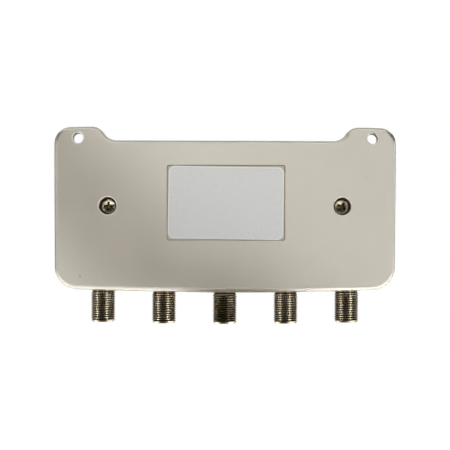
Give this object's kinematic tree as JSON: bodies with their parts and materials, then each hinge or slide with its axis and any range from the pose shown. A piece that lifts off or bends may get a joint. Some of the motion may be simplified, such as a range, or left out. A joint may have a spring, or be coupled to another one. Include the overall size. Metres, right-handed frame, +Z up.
{
  "type": "tv signal amplifier",
  "caption": "Flat plastic-cased TV signal amplifier that hangs on a wall by two ears, with a row of threaded coaxial ports along its bottom edge",
  "frame": {"origin": "midway between the two ear holes, on the plane of the back face that lies against the wall", "axes": "+Z up, -Y out of the back face into the wall, +Y to the front, +X along the row of ports"},
  "size_m": [0.1326, 0.027, 0.0763],
  "materials": {
    "case_plastic": "moulded ABS, warm light grey, satin gloss",
    "label_film": "blank white label film, matt",
    "screw_steel": "zinc plated steel, dulled",
    "port_plating": "bright nickel plate on turned brass",
    "bead_plastic": "white moulded insulator",
    "contact_brass": "stamped brass",
    "board_laminate": "glass laminate under green lacquer",
    "shield_tin": "tin plated steel sheet",
    "chip_epoxy": "black moulded epoxy",
    "core_ferrite": "fired ferrite, dark grey",
    "part_ceramic": "small brown ceramic parts",
    "choke_copper": "enamelled copper winding",
    "can_aluminium": "drawn aluminium can",
    "lamp_lens": "clear green epoxy lens"
  },
  "bodies": {
    "root": {"back_cover": "case_plastic", "front_cover": "case_plastic", "blank_label": "label_film", "case_screw_left": "screw_steel", "case_screw_right": "screw_steel", "port_barrel_1": "port_plating", "port_barrel_2": "port_plating", "port_barrel_3": "port_plating", "port_barrel_4": "port_plating", "port_barrel_5": "port_plating", "port_bead_1": "bead_plastic", "port_bead_2": "bead_plastic", "port_bead_3": "bead_plastic", "port_bead_4": "bead_plastic", "port_bead_5": "bead_plastic", "port_contact_1": "contact_brass", "port_contact_2": "contact_brass", "port_contact_3": "contact_brass", "port_contact_4": "contact_brass", "port_contact_5": "contact_brass", "circuit_board": "board_laminate", "board_screws": "screw_steel", "shield_frame": "shield_tin", "shield_lid": "shield_tin", "amplifier_chip": "chip_epoxy", "splitter_cores": "core_ferrite", "chip_parts": "part_ceramic", "power_choke": "choke_copper", "filter_capacitors": "can_aluminium", "voltage_regulator": "chip_epoxy", "power_lamp": "lamp_lens"}
  },
  "joints": []
}
